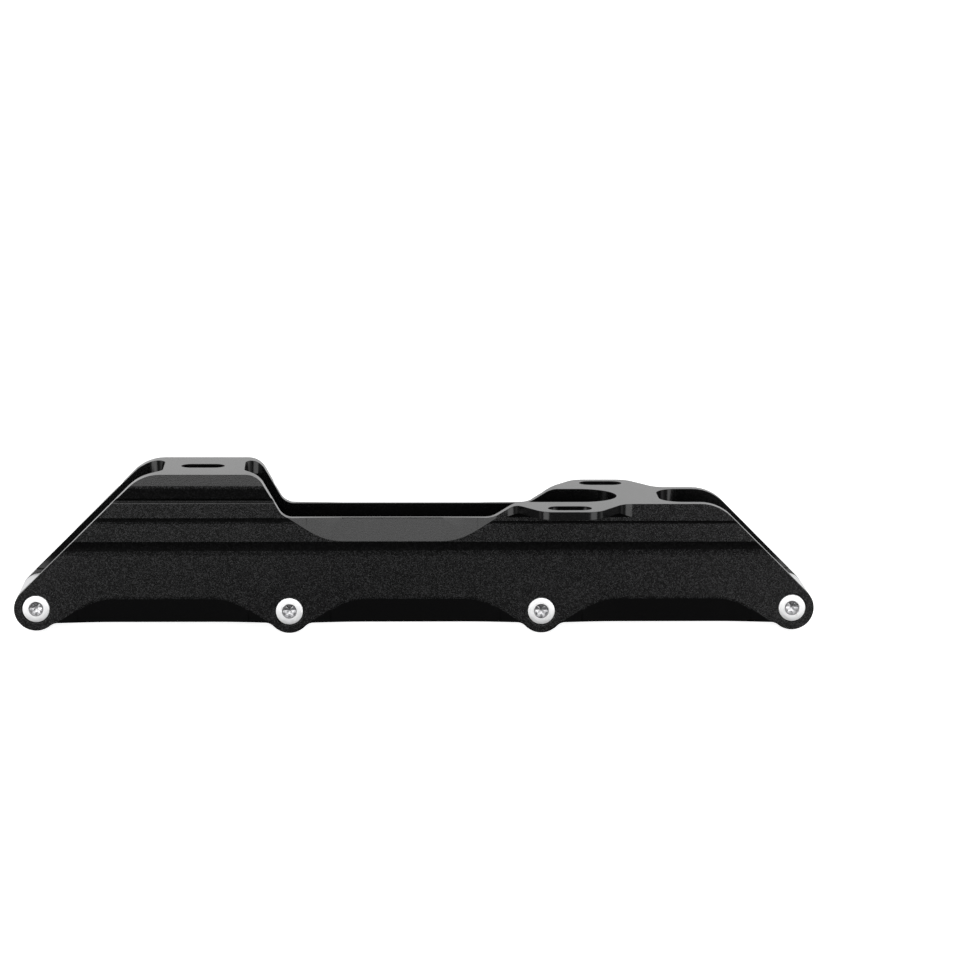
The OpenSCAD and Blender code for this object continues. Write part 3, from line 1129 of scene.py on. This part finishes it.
@dataclass
class Sleeve:
    """A tube on an axle, between the walls."""

    number: int
    bore: float = 4.05 * MM
    end_break: float = 0.5 * MM
    bore_break: float = 0.3 * MM
    turning: Turning = field(default_factory=Turning)

    @property
    def node(self) -> str:
        """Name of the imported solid, which is also the body's name."""
        return f"axle_sleeve_{self.number}"

    def build(self, metal: Material) -> Object:
        """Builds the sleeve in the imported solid's place.

        Args:
            metal: The sleeve's material.

        Returns:
            The sleeve's piece.
        """
        axis, outer, y0, y1 = measure_turned(self.node)
        t = self.turning
        rings = [
            t.round(y0 + self.bore_break, self.bore),
            t.round(y0, self.bore + self.bore_break),
            t.round(y0, outer - self.end_break),
            t.round(y0 + self.end_break, outer),
            t.round(y1 - self.end_break, outer),
            t.round(y1, outer - self.end_break),
            t.round(y1, self.bore + self.bore_break),
            t.round(y1 - self.bore_break, self.bore),
        ]
        name = f"turned_{self.node}"
        piece = show_mesh(name, t.mesh(name, axis, rings, closed=True))
        piece.data.materials.append(metal)
        return piece

    def dress(self, piece: Object) -> None:
        """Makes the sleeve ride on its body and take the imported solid's place.

        Args:
            piece: The sleeve's piece.
        """
        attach(piece, self.node)
        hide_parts(self.node)


@dataclass
class Softbox:
    """A soft area light that shines at the part, with its power in watts."""

    name: str
    place: Place
    target: Place
    size: tuple[float, float]
    power: float

    def build(self) -> Object:
        """Builds the light.

        Returns:
            The light's object.
        """
        data = bpy.data.lights.new(self.name, "AREA")
        data.shape = "RECTANGLE"
        data.size, data.size_y = self.size
        data.energy = self.power
        lamp = bpy.data.objects.new(self.name, data)
        lamp.location = self.place
        aim = Vector(self.target) - Vector(self.place)
        lamp.rotation_euler = aim.to_track_quat("-Z", "Y").to_euler()
        lamp.visible_camera = False
        bpy.context.scene.collection.objects.link(lamp)
        return lamp


@dataclass
class Studio:
    """Floor, surroundings, lights and camera.

    Attributes:
        floor_reach: Half the width of the floor.
        floor_cells: Number of the floor's faces along a side.
        floor_drop: How far the floor lies under the part.
        eye: Where the camera stands.
        yaw: The camera's turn to the toe, in radians.
        pitch: The camera's look down, in radians.
        roll: The camera's roll, in radians.
        lens: Focal length in millimetres.
        sensor: Width of the sensor in millimetres.
        clip: Nearest and farthest distance that the camera sees.
        front: Brightness of the surroundings in front, at each rise of a direction.
        back: Brightness of the surroundings behind, at each rise of a direction.
        turnover: Depth of a direction, forward or back, at which the other side is gone.
        softboxes: The lights.
    """

    floor_reach: float = 14.0
    floor_cells: int = 8
    floor_drop: float = 0.2 * MM
    eye: Place = (-0.02239, -1.22993, 0.26880)
    yaw: float = 0.0375
    pitch: float = 0.1730
    roll: float = 0.0063
    lens: float = 127.93
    sensor: float = 36.0
    clip: tuple[float, float] = (0.01, 100.0)
    front: Levels = ((-1.0, 0.03), (-0.3, 0.08), (0.0, 0.15), (0.3, 0.4), (1.0, 0.6))
    back: Levels = ((-1.0, 0.03), (-0.4, 0.1), (-0.15, 0.9), (0.3, 0.8), (1.0, 0.6))
    turnover: float = 0.3
    softboxes: tuple[Softbox, ...] = (
        Softbox("front_softbox", (0.0, -0.5, 0.21), (0.0, 0.0, 0.03), (1.0, 0.38), 2.3),
        Softbox("left_softbox", (-0.44, -0.46, 0.03), (0.0, 0.0, 0.03), (0.4, 0.45), 1.15),
        Softbox("right_softbox", (0.44, -0.46, 0.03), (0.0, 0.0, 0.03), (0.4, 0.45), 1.05),
    )

    def build(self, finish: FloorFinish, effects: Effects) -> None:
        """Builds the studio.

        Args:
            finish: The floor's finish.
            effects: The shared node groups.
        """
        self._floor(finish, effects)
        self._surroundings()
        for softbox in self.softboxes:
            softbox.build()
        self._camera()

    def _floor(self, finish: FloorFinish, effects: Effects) -> None:
        """Lays the floor under the part.

        Args:
            finish: The floor's finish.
            effects: The shared node groups.
        """
        bm = bmesh.new()
        cells = self.floor_cells
        bmesh.ops.create_grid(bm, x_segments=cells, y_segments=cells, size=self.floor_reach)
        bmesh.ops.translate(bm, verts=bm.verts, vec=(0.0, 0.0, -self.floor_drop))
        mesh = bpy.data.meshes.new("studio_floor")
        bm.to_mesh(mesh)
        bm.free()
        floor = show_mesh("studio_floor", mesh)
        mesh.materials.append(finish.material(effects))
        floor.visible_diffuse = False
        floor.visible_glossy = False
        floor.visible_shadow = False

    def _surroundings(self) -> None:
        """Makes the surroundings: dim in front and below, bright behind, plain to the camera."""
        world = bpy.data.worlds.new("studio")
        bpy.context.scene.world = world
        world.use_nodes = True
        tree = world.node_tree
        tree.nodes.clear()
        way = add_node(tree, "ShaderNodeTexCoord").outputs["Generated"]
        split = add_node(tree, "ShaderNodeSeparateXYZ")
        link(tree, way, split.inputs["Vector"])
        height = calc(tree, "MULTIPLY_ADD", split.outputs["Z"], 0.5, 0.5)
        turn = self.turnover
        behind = add_node(tree, "ShaderNodeMapRange", From_Min=-turn, From_Max=turn)
        link(tree, split.outputs["Y"], behind.inputs["Value"])
        both = add_node(tree, "ShaderNodeMix", data_type="RGBA")
        link(tree, behind.outputs["Result"], both.inputs["Factor"])
        link(tree, self._ramp(tree, height, self.front), both.inputs["A"])
        link(tree, self._ramp(tree, height, self.back), both.inputs["B"])
        light = add_node(tree, "ShaderNodeBackground", Strength=1.0)
        link(tree, both.outputs["Result"], light.inputs["Color"])
        plain = add_node(tree, "ShaderNodeBackground", Strength=1.0)
        plain.inputs["Color"].default_value = (1.0, 1.0, 1.0, 1.0)
        seen = add_node(tree, "ShaderNodeLightPath").outputs["Is Camera Ray"]
        shown = choose(tree, seen, light.outputs[0], plain.outputs[0])
        leave = add_node(tree, "ShaderNodeOutputWorld")
        link(tree, shown, leave.inputs["Surface"])

    def _ramp(self, tree: NodeTree, height: NodeSocket, levels: Levels) -> NodeSocket:
        """Adds a ramp of brightness over height.

        Args:
            tree: The world's node tree.
            height: Output with the height of a direction, from 0 straight down to 1 straight up.
            levels: Brightness at each rise, from -1 straight down to 1 straight up.

        Returns:
            The brightness as a colour.
        """
        ramp = add_node(tree, "ShaderNodeValToRGB")
        link(tree, height, ramp.inputs["Fac"])
        stops = ramp.color_ramp.elements
        while len(stops) < len(levels):
            stops.new(0.5)
        for stop, (rise, level) in zip(stops, levels):
            stop.position = rise * 0.5 + 0.5
            stop.color = (level, level, level, 1.0)
        return ramp.outputs["Color"]

    def _camera(self) -> None:
        """Sets the camera where the photograph was taken from."""
        data = bpy.data.cameras.new("camera")
        data.lens = self.lens
        data.sensor_width = self.sensor
        data.clip_start, data.clip_end = self.clip
        camera = bpy.data.objects.new("camera", data)
        turn = Matrix.Rotation(-self.yaw, 4, "Z")
        look = turn @ Matrix.Rotation(math.pi / 2 - self.pitch, 4, "X")
        tilt = Matrix.Rotation(self.roll, 4, "Z")
        camera.matrix_world = Matrix.Translation(self.eye) @ look @ tilt
        bpy.context.scene.collection.objects.link(camera)
        bpy.context.scene.camera = camera


BLASTED = AnodisedFinish(
    name="blasted_black",
    tone=(0.0006, 0.0006, 0.00063),
    speck=(0.0145, 0.0145, 0.0153),
    roughness=(0.16, 0.38),
    grains_per_m=3000.0,
    grain_depth=0.05 * MM,
)
MILLED = AnodisedFinish(
    name="milled_black",
    tone=(0.001, 0.001, 0.0011),
    speck=(0.0016, 0.0016, 0.0017),
    roughness=(0.14, 0.24),
    grains_per_m=5200.0,
    grain_depth=0.006 * MM,
)
# Painted shade: the blasted finish with dimmer specks, for the outside faces that lean down.
COVE = AnodisedFinish(
    name="cove_black_painted_shade",
    tone=(0.0006, 0.0006, 0.00063),
    speck=(0.004, 0.004, 0.0042),
    roughness=(0.14, 0.28),
    grains_per_m=2600.0,
    grain_depth=0.05 * MM,
)
EDGE = AnodisedFinish(
    name="edge_black",
    tone=(0.0015, 0.0015, 0.0016),
    speck=(0.0025, 0.0025, 0.0026),
    roughness=(0.2, 0.3),
    grains_per_m=5200.0,
    grain_depth=0.006 * MM,
)
AXLE_METAL = TurnedFinish(
    name="turned_steel",
    tone=(0.95, 0.95, 0.95),
    dark=(0.8, 0.8, 0.81),
    roughness=(0.5, 0.64),
    rings_per_mm=9.0,
    ring_depth=0.03 * MM,
)
# Painted shade: a darker steel colour than the head, for the socket and its mouth.
SOCKET_SHADED_METAL = TurnedFinish(
    name="broached_steel_painted_shade",
    tone=(0.55, 0.55, 0.56),
    dark=(0.3, 0.3, 0.31),
    roughness=(0.2, 0.35),
    rings_per_mm=3.0,
    ring_depth=0.05 * MM,
)
SLEEVE_METAL = TurnedFinish(
    name="turned_aluminium",
    tone=(0.93, 0.93, 0.94),
    dark=(0.78, 0.78, 0.79),
    roughness=(0.35, 0.5),
    rings_per_mm=6.0,
    ring_depth=0.02 * MM,
)
FLOOR = FloorFinish(
    name="white_floor",
    tone=(0.92, 0.92, 0.92),
    shade=(0.9, 0.9, 0.9),
    glow=0.9,
)


def main() -> None:
    """Builds the part's pieces and the studio, and reports each piece."""
    logging.basicConfig(level=logging.INFO, format="%(name)s: %(message)s")
    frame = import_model()
    bpy.context.scene.view_settings.view_transform = "Standard"
    effects = Effects.make()

    finishes = {Cut.BLASTED: BLASTED, Cut.MILLED: MILLED, Cut.EDGE: EDGE, Cut.COVE: COVE}
    body = FrameBody(finishes=finishes)
    shaped = body.build(frame)
    body.dress(shaped, effects)
    LOG.info("%s: %d faces", shaped.name, len(shaped.data.polygons))

    axle_metal = AXLE_METAL.material(effects)
    socket_shaded_metal = SOCKET_SHADED_METAL.material(effects)
    sleeve_metal = SLEEVE_METAL.material(effects)
    for number in range(1, AXLES + 1):
        axle = Axle(number)
        sleeve = Sleeve(number)
        for maker, metals in ((axle, (axle_metal, socket_shaded_metal)), (sleeve, (sleeve_metal,))):
            piece = maker.build(*metals)
            maker.dress(piece)
            LOG.info("%s: %d faces", piece.name, len(piece.data.polygons))

    Studio().build(FLOOR, effects)


if __name__ == "__main__":
    main()
